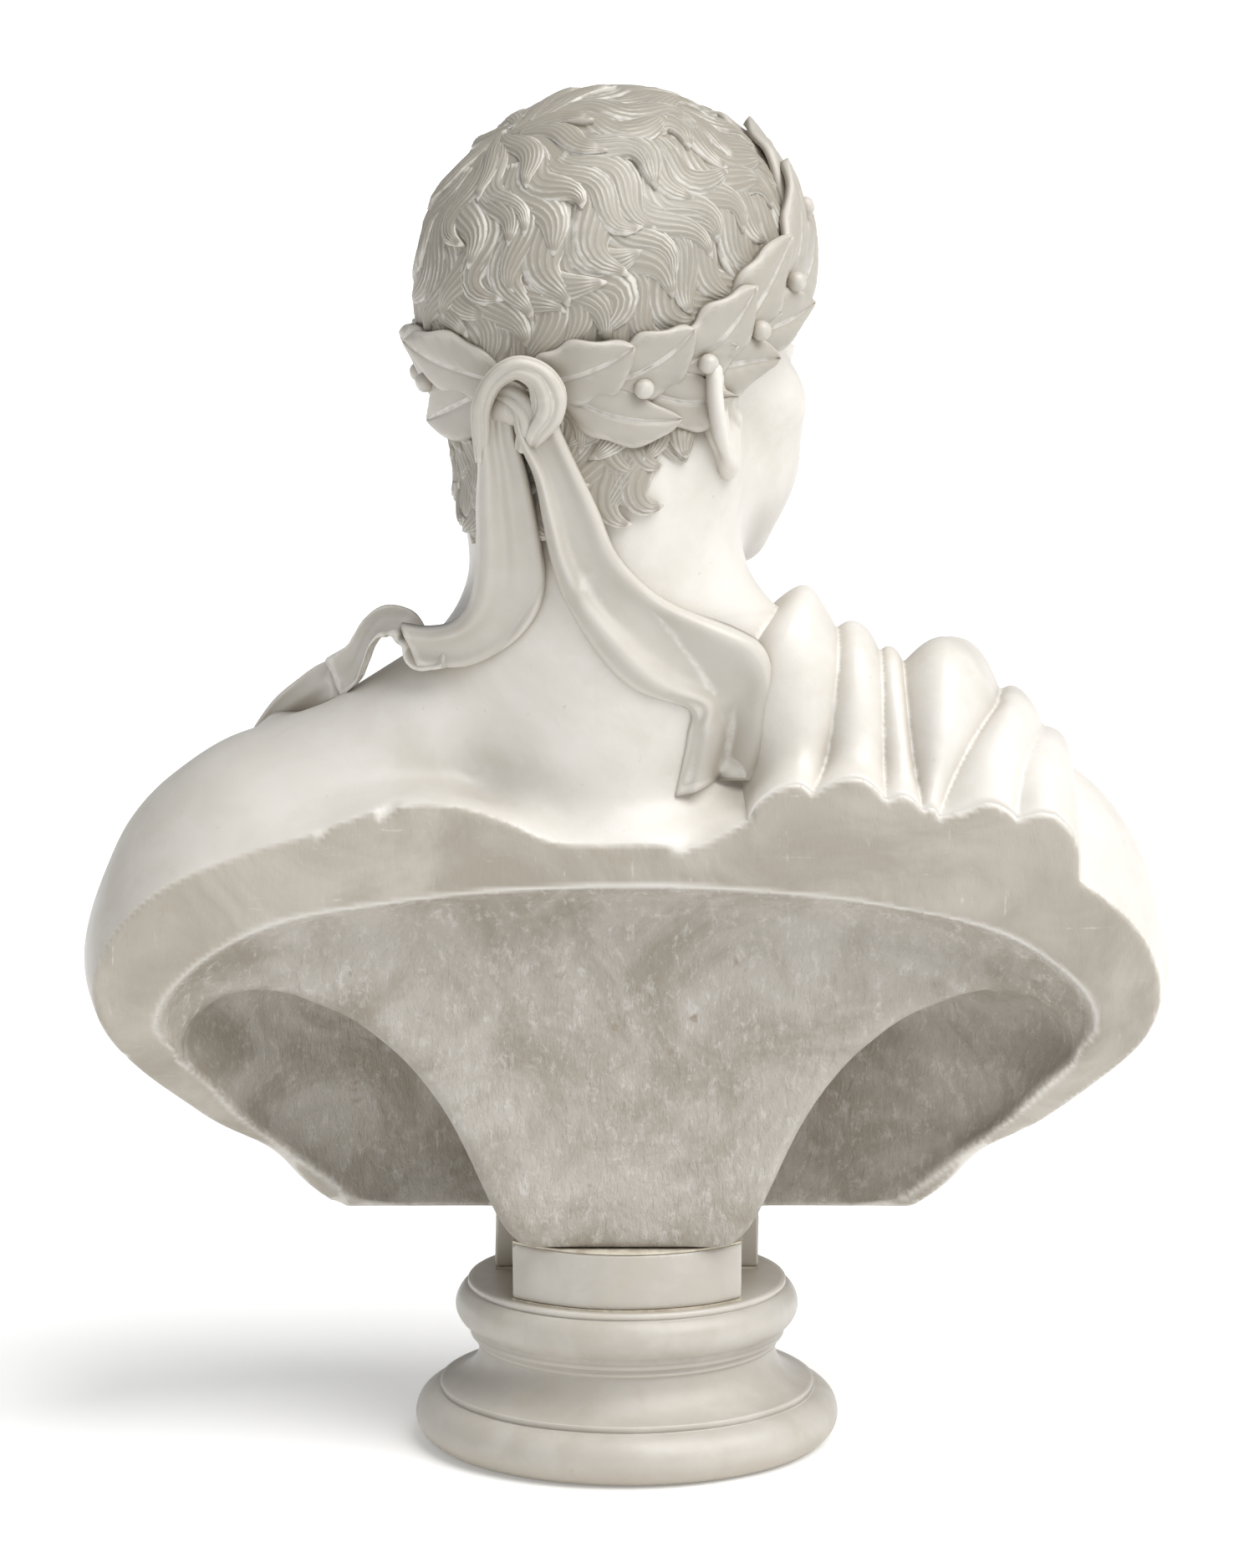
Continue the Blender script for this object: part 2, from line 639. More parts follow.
def hair_locks(roots, lengths, width, swing, wave, phase, hook, lift, strands, rings=19, across=19):
    """Vertices, quads and triangles of many locks, each a closed strip with strand grooves."""
    lines, normals, used = lock_lines(roots, lengths, swing, wave, phase, hook)
    keep = used > 12
    lines, normals, share = lines[keep], normals[keep], (used / lengths)[keep]
    width, lift, strands, phase = width[keep], lift[keep], strands[keep], phase[keep]
    c, n = resampled(lines, share, rings), resampled(normals, share, rings)
    side = unit(np.cross(n, unit(np.gradient(c, axis=1))))
    s = np.linspace(0, 1, rings)[None, :, None]
    v = np.linspace(-1, 1, across)[None, None, :]
    taper = 1 - 0.94 * np.clip((s - 0.5) / 0.5, 0, 1) ** 1.9
    w = width[:, None, None] * (0.6 + 0.4 * smooth(s / 0.35)) * taper
    top = c[:, :, None, :] + side[:, :, None, :] * (v * w / 2)[..., None]
    shape = top.shape
    top = settle(guide_field, top.reshape(-1, 3), 1).reshape(shape)
    rise = 0.9 + lift[:, None, None] * s ** 1.2 - 1.8 * smooth((s - 0.86) / 0.14)
    crown = 2.9 * (np.sqrt(np.maximum(1 - 0.92 * v * v, 0)) - 1) * np.minimum(w / 10, 1)
    lines_at = v + 0.12 * np.sin(3 * s + phase[:, None, None]) + 0.15 * s
    groove = 0.62 * np.abs(np.cos(math.pi * strands[:, None, None] * lines_at)) ** 4 * smooth((1 - s) / 0.15)
    height = rise + crown - groove * np.minimum(w / 9, 1)
    top = top + n[:, :, None, :] * height[..., None]
    low = top[:, :, [-1, 0], :] - n[:, :, None, :] * 5.0
    inward = side[:, :, None, :] * (w * 0.15)[..., None] * np.array([-1.0, 1.0])[None, None, :, None]
    return lofts(np.concatenate([top, low + inward], 2))


def crown_locks():
    """Shingled rows of wavy locks that run out from the whorl to the edge of the hair."""
    rng = np.random.default_rng(11)
    roots, places = [], []
    for i, s in enumerate(np.r_[2, 11, 23, 36, np.arange(50, 262, 17.0)]):
        theta = s / CAP_R
        count = max(7, int(2 * math.pi * CAP_R * abs(math.sin(theta)) / 12.6))
        around = (np.arange(count) + 0.5 * (i % 2) + rng.uniform(-0.18, 0.18, count)) * 2 * math.pi / count
        jitter = rng.uniform(-3, 3, count) / CAP_R * min(1, i / 2)
        roots.append(on_cap(theta + jitter, around))
        places.append(np.stack([around, np.full(count, s)], 1))
    roots, places = np.concatenate(roots), np.concatenate(places)
    q = to_head(roots)
    nape = (q[:, 2] < -46) & (q[:, 1] > 30)
    fits = (above_hairline(q) > np.where(nape, 26, 5)) & (behind_ear(q) > 0.1)
    roots, places = roots[fits], places[fits]
    n = len(roots)
    around = places[:, 0]
    phase = 1.1 * np.sin(2 * around + 0.6) + 0.7 * np.sin(5 * around) + rng.uniform(-0.3, 0.3, n)
    return dict(roots=roots, lengths=rng.uniform(56, 78, n) * np.clip(places[:, 1] / 60 + 0.7, 0, 1),
                width=rng.uniform(16.5, 22, n) * np.clip(places[:, 1] / 70 + 0.62, 0, 1),
                swing=rng.uniform(0.7, 0.95, n), wave=48.0, phase=phase,
                hook=rng.choice([-0.5, 0.45], n) * rng.uniform(0.4, 1.2, n),
                lift=rng.uniform(3.4, 5.0, n), strands=rng.uniform(2.5, 3.3, n))


def edge_locks():
    """Longer comma curls along the edge of the hair: nape, behind the ears, temples and forehead."""
    rng = np.random.default_rng(4)
    turns = np.radians(np.r_[np.arange(-172, -104, 13), np.arange(112, 186, 13), np.arange(-178, -118, 12),
                             np.arange(122, 180, 12), np.arange(-46, 50, 9.5), -66.0, -74.0, 66.0, 74.0])
    n = len(turns)
    behind = np.abs(turns) > 1.75
    second = np.arange(n) >= 12
    line = np.interp(np.degrees(np.abs(turns)), list(HAIRLINE), list(HAIRLINE.values()))
    z = line + np.where(behind, np.where(second, 40, 24), 24) + rng.uniform(-3, 3, n)
    r = np.where(behind, 62, 84.0)
    roots = from_head(np.stack([r * np.sin(turns), -r * np.cos(turns), z], 1))
    hook = np.where(behind, 2.3, -np.where(rng.random(n) < 0.75, 1.5, -1.2)) * rng.uniform(0.85, 1.1, n)
    return dict(roots=roots, lengths=rng.uniform(44, 54, n) - 8 * (second & behind),
                width=rng.uniform(13.5, 16.5, n), swing=np.where(behind, 0.6, 0.3), wave=44.0,
                phase=rng.uniform(2.6, 3.4, n), hook=hook,
                lift=rng.uniform(5.2, 6.4, n) - 1.6 * (second & behind), strands=rng.uniform(1.7, 2.3, n))


def make_hair():
    crown = crown_locks()
    front = to_head(crown["roots"])[:, 1] < 10
    groups = {name: {k: v[part] if isinstance(v, np.ndarray) else v for k, v in crown.items()}
              for name, part in (("hair_front", front), ("hair_back", ~front))}
    groups["hair_edge_curls"] = edge_locks()
    rings = 19
    for name, locks in groups.items():
        piece(name, *hair_locks(**locks, rings=rings, across=rings), passes=3, gain=0.7, age=1)


# ---------- laurel wreath ----------

WREATH_TILT = math.radians(29)
KNOT_TURN = 16.0                 # degrees from the middle of the nape
BAND = (85.0, 108.0)             # half sizes of the band's ellipse
LEAF_PAIRS = 7
LEAF_STEP = 158 / LEAF_PAIRS


def on_band(degrees, side, height):
    """A place on the wreath's band, degrees round from the knot, at this height above its middle line."""
    t = np.radians(90 + KNOT_TURN - side * degrees)
    r = 1 / np.hypot(np.cos(t) / BAND[0], np.sin(t) / BAND[1])
    x, y = r * np.cos(t), r * np.sin(t) * 0.92
    middle = -24 - 0.495 * y + 0.00305 * y * y + 26 * smooth((-y - 50) / 44)
    y, z = y + height * math.sin(WREATH_TILT), middle + height * math.cos(WREATH_TILT)
    return from_head(np.stack([x, y, z], 1))


def leaf(side, degrees, height, slope, size, level, bend, rows=28, columns=17):
    """A leaf on the hair, its tip away from the knot: a closed slab with midrib, veins and wavy edge."""
    u = np.linspace(0, 1, rows)[:, None]
    v = np.linspace(-1, 1, columns)[None, :]
    half = 0.268 * size * np.sin(math.pi * u ** 0.88) ** 0.66 * (1.08 - 0.22 * u)
    half = half * (1 + 0.07 * np.sin(5 * math.pi * u + 2 * bend) + 0.03 * np.sin(13 * u + bend)) + 0.6
    along = (u - 0.45) * size + 0 * v
    across = v * half + 0.08 * size * bend * np.sin(math.pi * u)
    c, s = math.cos(slope), math.sin(slope)
    per_degree = math.radians(1) * 97
    a = degrees + (along * c - across * s) / per_degree
    h = height + along * s + across * c
    place = on_band(a.ravel(), side, h.ravel())
    rib = np.exp(-(v / 0.05) ** 2) * smooth((1 - u) / 0.2)
    veins = 0.16 * np.abs(np.sin(math.pi * (7 * u - 1.9 * np.abs(v)))) ** 10 * (1 - rib)
    ruffle = 1.3 * np.abs(v) ** 2 * np.sin(4 * math.pi * u + 3 * bend)
    lift = (level + 5.0 * u ** 1.6 + 1.0 * np.sin(math.pi * np.abs(v) ** 0.8) - 0.9 * rib - veins
            - 1.3 * np.abs(v) ** 6 + ruffle - 2.2 * (1 - u) ** 2)
    under = lift - 2.8 - 1.2 * (1 - np.abs(v))
    base = settle(guide_field, place, 3)
    q = to_head(base)
    over_ear = 4.5 * np.exp(-((q[:, 1] - 4) / 26) ** 2 - ((q[:, 2] + 42) / 24) ** 2)
    n = unit(gradient(guide_field, base))
    shape = (rows, columns, 3)
    top = (base + n * (lift.ravel() + over_ear)[:, None]).reshape(shape)
    low = (base + n * (under.ravel() + over_ear)[:, None]).reshape(shape)
    return sheet_solid(top, low)


def joined(parts):
    """Several closed forms as one set of vertices, quads and triangles."""
    points, quads, triangles, start = [], [], [], 0
    for p, q, t in parts:
        if signed_volume(p, q) < 0:
            q, t = q[:, ::-1], t[:, ::-1]
        points.append(p)
        quads.append(q + start)
        triangles.append(t + start)
        start += len(p)
    return np.concatenate(points), np.concatenate(quads), np.concatenate(triangles)


def make_wreath():
    rng = np.random.default_rng(8)
    for side, name in ((1, "laurel_left"), (-1, "laurel_right")):
        leaves = []
        for i in range(LEAF_PAIRS):
            middle = 21 + i * LEAF_STEP
            for k in (-1, 1):
                place = middle + rng.uniform(-2, 2) - 3 * k
                size = 58 * rng.uniform(0.95, 1.08)
                leaves.append(leaf(side, place, 1 + 10.5 * k, math.radians(20 * k), size, 6.6 + 0.6 * k,
                                   rng.uniform(-1, 1)))
            height, slope = 1 + rng.uniform(-3, 3), math.radians(rng.uniform(-6, 6))
            leaves.append(leaf(side, middle + LEAF_STEP * 0.5, height, slope, 46, 3.6, rng.uniform(-1, 1)))
        piece(name + "_leaves", *joined(leaves), stands_for=[name], passes=4, age=0.75)
    berries = []
    for i in range(LEAF_PAIRS - 1):
        for side in (1, -1):
            place = on_band(np.array([21 + (i + 0.62) * LEAF_STEP]), side, np.array([1 + rng.uniform(-2, 2)]))
            berries.append(berry(settle(guide_field, place, 3), 9.3 if abs(i - 1.5) > 1 else 11.5))
    piece("laurel_berries_round", *joined(berries), stands_for=["laurel_berries"], passes=2, age=0.4)


def berry(place, level, radius=4.8):
    """A round berry with a small nub."""
    n = unit(gradient(guide_field, place)[0])
    a = unit(np.cross(n, [0, 0, 1.0]))
    b = np.cross(n, a)
    up = np.linspace(-1, 1, 15)[1:-1]
    ring = np.linspace(0, 2 * math.pi, 24, endpoint=False)
    r = radius * np.sqrt(1 - up ** 2)
    rise = radius * up + 0.8 * smooth((up - 0.86) / 0.12)
    circle = np.cos(ring)[:, None] * a + np.sin(ring)[:, None] * b
    rings = place[0] + n * level + rise[:, None, None] * n + r[:, None, None] * circle[None]
    return lofts(rings[None])


# ---------- ribbon ----------

def rear_y(x, z):
    """Depth of the rearmost surface at x, z."""
    p = np.stack([x, np.full_like(x, 140.0), z], 1)
    for _ in range(50):
        p[:, 1] -= np.clip(guide_field(p), -6, 40) * 0.85
    return p[:, 1]


def tube(path, radii, lobes=0, depth=0.0, sides=28, flat=1.0):
    """A closed roll along a path, its section dented into a few soft folds."""
    p = curve(path, 46)
    r = np.interp(np.linspace(0, 1, 46), np.linspace(0, 1, len(radii)), radii)
    t = unit(np.gradient(p, axis=0))
    a = unit(np.cross(t, [0, 1.0, 0]))
    b = np.cross(t, a)
    angle = np.linspace(0, 2 * math.pi, sides, endpoint=False)[None, :]
    twist = np.linspace(0, 0.8, 46)[:, None]
    k = 1 - depth * np.abs(np.cos(lobes / 2 * (angle + twist))) ** 5
    wide, high = r[:, None] * k * np.cos(angle), flat * r[:, None] * k * np.sin(angle)
    rings = p[:, None] + wide[..., None] * a[:, None] + high[..., None] * b[:, None]
    return lofts(rings[None])


def make_knot():
    loop = tube([(67, 78, 484), (67, 83, 498), (66.5, 88, 511), (61, 93, 522.5), (51, 96, 529),
                 (41, 95, 525.5), (36, 93, 517), (36.5, 91, 508), (42, 87, 499), (46, 80, 490)],
                [3, 4.5, 5, 5, 5.6, 7, 8.8, 8.6, 6.5, 3], 5, 0.24, 40, 0.95)
    inner = tube([(61, 82, 518), (53, 87, 516), (47, 89, 510), (45, 88, 502), (48, 80, 490)],
                 [4, 6, 6.5, 6, 4], 5, 0.2, 32, 0.8)
    heart = tube([(64, 76, 507), (54, 80, 510), (44, 80, 508), (35, 76, 506)], [6, 9, 9, 6])
    piece("ribbon_knot_loop", *joined([loop, inner, heart]), stands_for=["ribbon_knot"], passes=4, age=0.55)


def tail(left, right, lift, hang, end=None, rows=80, columns=34):
    """A ribbon end between two edges given as (x, z), lying on the figure or hanging clear of it."""
    a, b = curve([(x, 0, z) for x, z in left], rows), curve([(x, 0, z) for x, z in right], rows)
    u = np.linspace(0, 1, columns)[None, :]
    v = np.linspace(0, 1, rows)[:, None]
    grid = a[:, None, :] * (1 - u[..., None]) + b[:, None, :] * u[..., None]
    if end is not None:
        grid[..., 2] += end(u) * smooth((v - 0.78) / 0.22)
    y = rear_y(grid[..., 0].ravel(), grid[..., 2].ravel()).reshape(rows, columns)
    top, under = grid.copy(), grid.copy()
    edge = np.abs(2 * u - 1)
    raised = np.maximum(y, hang(v) + 0 * u) + lift(u, v) - 1.2 * edge ** 6 - 2.6 * edge ** 22
    top[..., 1] = raised
    under[..., 1] = np.clip(y - 4, raised - 15, raised - 4)
    return sheet_solid(top, under)


def bell(t, middle, width):
    return np.exp(-((t - middle) / width) ** 2)


def right_tail():
    left = [(54, 514), (51, 496), (43, 477), (39, 456), (35, 436), (28, 416),
            (12, 391), (-4, 376), (-28, 366), (-28, 354), (-26, 342), (-22, 324)]
    right = [(36, 514), (31, 500), (24, 484), (13, 461), (3, 438), (-18, 418),
             (-51, 403), (-64, 394), (-68, 381), (-67, 366), (-66, 350), (-62, 332)]

    def lift(u, v):
        ridge = 5.5 * bell(u, 0.14 + 0.10 * v, 0.13 - 0.03 * v) * (1 - 0.45 * smooth((v - 0.6) / 0.3))
        outer = 3.6 * bell(u, 0.86, 0.16)
        fold = 4.5 * bell(u, 0.30 + 0.35 * (v - 0.75), 0.13) * smooth((v - 0.66) / 0.2)
        crease = -2.4 * bell(u, 0.55, 0.09) * smooth((v - 0.72) / 0.15)
        return 3.4 + 1.8 * smooth((0.5 - v) / 0.2) + ridge + outer + fold + crease

    def end(u):
        return 7 * bell(u, 0.62, 0.2) - 3 * bell(u, 1.0, 0.2)

    return tail(left, right, lift, lambda v: 82 + 5 * np.sin(3 * v) - 44 * v, end)


def left_tail():
    left = [(66, 514), (69, 496), (69, 480), (70, 464), (70, 446),
            (71, 430), (74, 415), (82, 405), (94, 402), (106, 403)]
    right = [(55, 514), (51, 496), (46, 478), (42, 458), (39, 440),
             (38, 426), (42, 411), (54, 396), (74, 385), (98, 384)]

    def lift(u, v):
        ridge = 4.4 * bell(u, 0.2, 0.17)
        second = 2.2 * bell(u, 0.60, 0.13) * smooth((0.75 - v) / 0.3)
        return 3.4 + ridge + second + 2.0 * bell(u, 0.9, 0.16)

    return tail(left, right, lift, lambda v: 80 + 3 * np.sin(3 * v) - 36 * v)


def shoulder_tail():
    """The left end's run over the shoulder, with its curl standing clear of the skin."""
    path = [(84, 50, 392), (90, 45, 391), (96, 40, 391), (101, 36, 396), (107, 31, 401),
            (115, 26, 401), (121, 22, 395), (125, 19, 387), (129, 14, 380), (138, 5, 373),
            (151, -12, 363), (167, -34, 349), (184, -58, 325)]
    n = 90
    p = curve(path, n)
    t = unit(np.gradient(p, axis=0))
    late = smooth((np.linspace(0, 1, n) - 0.62) / 0.25)[:, None]
    across = np.array([[0.12, -0.76, 0.62]]) * (1 - late) + np.array([[0.75, -0.45, 0.30]]) * late
    across = unit(across - np.einsum("ij,ij->i", across, t)[:, None] * t)
    out = np.cross(across, t)
    out *= np.sign(out[:, 2:3] + 1e-9)
    s = np.linspace(0, 1, n)[:, None]
    half = np.interp(s, (0, 0.15, 0.5, 0.8, 1), (9, 11, 10.5, 10, 6))
    columns = 18
    u = np.linspace(-1, 1, columns)[None, :]
    wave = 2.2 * np.sin(9 * s + 2.2 * u) * smooth(np.abs(u)) + 1.8 * np.abs(u) ** 3
    top = p[:, None] + across[:, None] * (half * u)[..., None] + out[:, None] * wave[..., None]
    rounding = 1.9 * np.sqrt(np.maximum(1 - u ** 6, 0))[..., None] + 0 * s[..., None]
    return sheet_solid(top + out[:, None] * rounding, top - out[:, None] * rounding)


def make_tails():
    for side, parts in (("left", [left_tail(), shoulder_tail()]), ("right", [right_tail()])):
        name = "ribbon_tail_" + side
        piece(name + "_end", *joined(parts), stands_for=[name], passes=5, age=0.5)


# ---------- cloak ----------

# Lines between the folds over the right shoulder, as -x: at the sawn back and at the top of the shoulder.
FOLD_BACK = np.array([54.0, 80, 117, 136, 141, 182, 213])
FOLD_TOP = np.array([54.0, 102, 123, 134, 177, 197, 213])
FOLD_RISE_BACK = np.array([4.0, 6, 3.5, 0.5, 4.5, 3])
FOLD_RISE_TOP = np.array([12.0, 7, 4, 18, 7, 3])


def fold_height(x, turn, back=FOLD_BACK, top=FOLD_TOP, rise_back=FOLD_RISE_BACK, rise_top=FOLD_RISE_TOP):
    """Height of folds at x: broad crowns between lines that shift from one set to the other with turn."""
    edges = back[None] * (1 - turn[:, None]) + top[None] * turn[:, None]
    i = np.clip((x[:, None] > edges).sum(1) - 1, 0, len(rise_top) - 1)
    rows = np.arange(len(x))
    t = np.clip((x - edges[rows, i]) / np.maximum(edges[rows, i + 1] - edges[rows, i], 1e-3), 0, 1)
    rise = rise_back[i] * (1 - turn) + rise_top[i] * turn
    return rise * (1 - np.abs(2 * t ** 1.15 - 1) ** 2.3)


def cloth_solid(p):
    """The cloak over the right shoulder, before the back is sawn."""
    y, z = p[:, 1] + 5, p[:, 2] - 262
    a = np.degrees(np.arctan2(z, y))
    a = np.where(a < -90, a + 360, a)
    turn = smooth((a - 26) / 54)
    x = -p[:, 0]
    back = np.interp(x, (56, 80, 150, 200, 212), (3, 5, 5, 14, 12))
    top = np.interp(x, (56, 82, 120, 150, 180, 212), (2, 6, 9, 13, 13, 6))
    body = smin(body_field(p), neck_field(p), 26)
    drift = 3.0 * np.sin(a / 17 + x / 40)
    ending = 1 - 0.75 * smooth((a - 165) / 40)
    cloth = (body - (back * (1 - turn) + top * turn + fold_height(x + drift, turn)) * ending) * 0.8
    inner = 56 - 4 * turn - x
    outer = x - 212 + 4 * smooth((a - 120) / 60)
    d = smax(cloth, np.maximum(inner, outer), 5)
    d = smax(d, (p[:, 2] - 391 - 1.1 * (x - 56)) * 0.65, 10)
    d = smax(d, (a - 206) * 1.6, 4)
    d = smax(d, (-6 - a) * 1.6, 4)
    return smax(d, -(body + 8), 1)


def cloak_field(p):
    return smax(cloth_solid(p), (p[:, 1] - saw_y(p[:, 2]) + 1.6) / 1.25, 0.8)


SWAG_RIGHT = np.array([0.0, 0.20, 0.33, 0.55, 0.72, 1.0])
SWAG_LEFT = np.array([0.0, 0.10, 0.38, 0.50, 0.80, 1.0])
SWAG_RISE = np.array([9.0, 5, 11, 6, 9])


def chest_cloth_field(p):
    """The cloak's fall across the chest: folds that hang from the right shoulder and close up to the left."""
    x, z = p[:, 0], p[:, 2]
    t = np.clip((x + 214) / 350, 0, 1)
    slope = math.radians(17)
    sag = 24 * np.sin(math.pi * t ** 0.85)
    v = (322 - (x + 205) * math.tan(slope) * 0.85 - sag - z) * math.cos(slope) / (112 - 38 * t)
    wander = v + 0.035 * np.sin(7 * t + 4 * v)
    rise = fold_height(wander, smooth(t), SWAG_RIGHT, SWAG_LEFT, SWAG_RISE, SWAG_RISE * 0.6)
    far = smooth((-x - 190) / 26)
    body = torso_mass(p)
    gone = np.maximum(far, smooth((t - 0.80) / 0.2))
    cloth = (body - (6 - 3 * t + rise) * (1 - gone) + 1.5 * gone) * 0.7
    edge = np.maximum(-v, v - 1) * 100
    d = smax(cloth, edge, 7)
    d = smax(d, x - 138 + 10 * v, 8)
    d = smax(d, p[:, 1] + 24, 6)
    d = smax(d, -(body + 8), 1)
    return smax(d, FOOT_Z - z, 1)


def make_cloak():
    points, quads = field_mesh(cloak_field, (-232, -150, 200), (-44, 84, 424), fineness(1.5), slack=2.8)
    piece("shoulder_cloak_folds", points, quads, stands_for=["shoulder_cloak"], gain=0.35)
    low, high = (-262, -170, 104), (150, 0, 340)
    points, quads = field_mesh(chest_cloth_field, low, high, fineness(1.8), slack=2.8)
    piece("chest_cloak_folds", points, quads, stands_for=["chest_cloak"], gain=0.35)


# ---------- socle and neck block ----------

def arc(c, r, a0, a1, n=14):
    a = np.radians(np.linspace(a0, a1, n))
    return [(c[0] + r * math.cos(t), c[1] + r * math.sin(t)) for t in a]


def socle_profile():
    low, top_torus, torus_z = 12.5, 11.5, 66.5
    scotia = arc((90.5, 47), 19.0, 270, 180, 16)
    foot = [(24, 0), (89, 0.0)] + arc((90, low), low, -88, 88, 22) + [(90.6, 25.2), (90.6, 27.8)]
    fillets = [(71.6, 47.2), (72.9, 47.3), (73.4, 48.7), (72.9, 50.2), (73.0, 50.4), (74.9, 51.3),
               (76.2, 52.0), (76.2, 56.6)]
    return (foot + scotia + fillets
            + arc((71.5, torus_z), top_torus, -54, 54, 20)
            + [(76.6, 76.0), (77.0, 76.4), (77.0, 78.4), (76.5, 79), (9, 79), (9, 26), (24, 26)])


def make_socle():
    profile = np.array(socle_profile())
    fine = []
    for a, b in zip(profile, np.roll(profile, -1, 0)):
        k = max(1, int(np.hypot(*(b - a)) / 2.5))
        fine += [a + (b - a) * i / k for i in range(k)]
    fine = np.array(fine)
    turns = fineness(240)
    angle = np.arange(turns) * 2 * math.pi / turns
    r, z = fine[:, 0][None, :], fine[:, 1][None, :]
    angle = angle[:, None]
    wobble = 0.25 * np.sin(3 * angle + 0.4) * np.sin(z / 9) + 0.15 * np.sin(11 * angle) * np.sin(z / 5)
    r = r + np.where(r > 60, wobble, 0)
    x, y = r * np.cos(angle), r * np.sin(angle)
    points = np.stack([x, y, z + 0 * x], -1)
    n = len(fine)
    i, j = np.meshgrid(np.arange(turns), np.arange(n), indexing="ij")
    i2, j2 = (i + 1) % turns, (j + 1) % n
    quads = np.stack([i * n + j, i2 * n + j, i2 * n + j2, i * n + j2], -1).reshape(-1, 4)
    piece("socle_turned", points.reshape(-1, 3), quads, slot="socle_marble", stands_for=["socle"], passes=4)


def block_field(p):
    x, y, z = p[:, 0], p[:, 1], p[:, 2]
    front = np.maximum(np.abs(x) - 64, np.maximum(-42 - y, y + 12))
    rear = smax(np.abs(x) - 54.5, np.maximum(np.hypot(x, y + 3) - 75, -20 - y), 1)
    side = np.minimum(front, rear)
    wave = 0.25 * np.sin(x / 9) * np.sin(z / 7 + y / 11)
    body = moulded(
        smax(side + wave, np.abs(z - 93.5) - 13.4, 1.6),
        (sphere(p, (-22, 74, 107.5), 3.4), -1.2),
        (ellipsoid(p, (-8, 75, 108), (9, 3, 1.8)), -1.2),
        (sphere(p, (55, 47, 107), 2.6), -1.0))
    return smax(body, 9 - np.hypot(x, y), 0.5)


def make_block():
    points, quads = field_mesh(block_field, (-68, -46, 78), (68, 76, 109), fineness(1.2))
    piece("neck_block_marble", points, quads, slot="socle_marble", stands_for=["neck_block"], passes=6)


# ---------- materials ----------

class Graph:
    """Short calls for building a node material."""

    def __init__(self, name):
        self.material = bpy.data.materials.new(name)
        self.material.use_nodes = True
        self.tree = self.material.node_tree
        self.shader = self.tree.nodes["Principled BSDF"]
        self.where = self.node("ShaderNodeTexCoord").outputs["Object"]

    def node(self, kind, **settings):
        made = self.tree.nodes.new(kind)
        for key, value in settings.items():
            setattr(made, key, value)
        return made

    def set(self, socket, value):
        if isinstance(value, bpy.types.NodeSocket):
            self.tree.links.new(value, socket)
        else:
            socket.default_value = value

    def noise(self, scale, detail=4, roughness=0.55, distortion=0.0, stretch=(1, 1, 1)):
        mapping = self.node("ShaderNodeMapping")
        self.set(mapping.inputs["Vector"], self.where)
        mapping.inputs["Scale"].default_value = stretch
        made = self.node("ShaderNodeTexNoise")
        self.set(made.inputs["Vector"], mapping.outputs[0])
        values = dict(Scale=scale, Detail=detail, Roughness=roughness, Distortion=distortion)
        for key, value in values.items():
            made.inputs[key].default_value = value
        return made.outputs["Fac"]

    def range(self, value, low, high, to_low=0.0, to_high=1.0):
        made = self.node("ShaderNodeMapRange", interpolation_type="SMOOTHSTEP")
        self.set(made.inputs["Value"], value)
        for key, number in (("From Min", low), ("From Max", high), ("To Min", to_low), ("To Max", to_high)):
            made.inputs[key].default_value = number
        return made.outputs["Result"]

    def math(self, kind, a, b=0.0):
        made = self.node("ShaderNodeMath", operation=kind)
        self.set(made.inputs[0], a)
        self.set(made.inputs[1], b)
        return made.outputs[0]

    def mix(self, factor, a, b):
        made = self.node("ShaderNodeMix", data_type="RGBA")
        self.set(made.inputs[0], factor)
        self.set(made.inputs[6], a if isinstance(a, bpy.types.NodeSocket) else (*a, 1))
        self.set(made.inputs[7], b if isinstance(b, bpy.types.NodeSocket) else (*b, 1))
        return made.outputs[2]

    def tint(self, colour, where, amount, to):
        """The colour moved towards another one by this amount of a mask."""
        return self.mix(self.math("MULTIPLY", where, amount), colour, to)

    def occlusion(self, distance):
        made = self.node("ShaderNodeAmbientOcclusion", samples=6)
        made.inputs["Distance"].default_value = distance
        return made.outputs["AO"]

    def attribute(self, name):
        return self.node("ShaderNodeAttribute", attribute_name=name).outputs["Fac"]

    def bump(self, height, strength, distance, normal=None):
        made = self.node("ShaderNodeBump")
        made.inputs["Strength"].default_value = strength
        made.inputs["Distance"].default_value = distance
        self.set(made.inputs["Height"], height)
        if normal is not None:
            self.set(made.inputs["Normal"], normal)
        return made.outputs[0]

    def finish(self, colour, roughness, normal, **constants):
        self.set(self.shader.inputs["Base Color"], colour)
        self.set(self.shader.inputs["Roughness"], roughness)
        self.set(self.shader.inputs["Normal"], normal)
        for key, value in constants.items():
            self.shader.inputs[key.replace("_", " ")].default_value = value
        return self.material


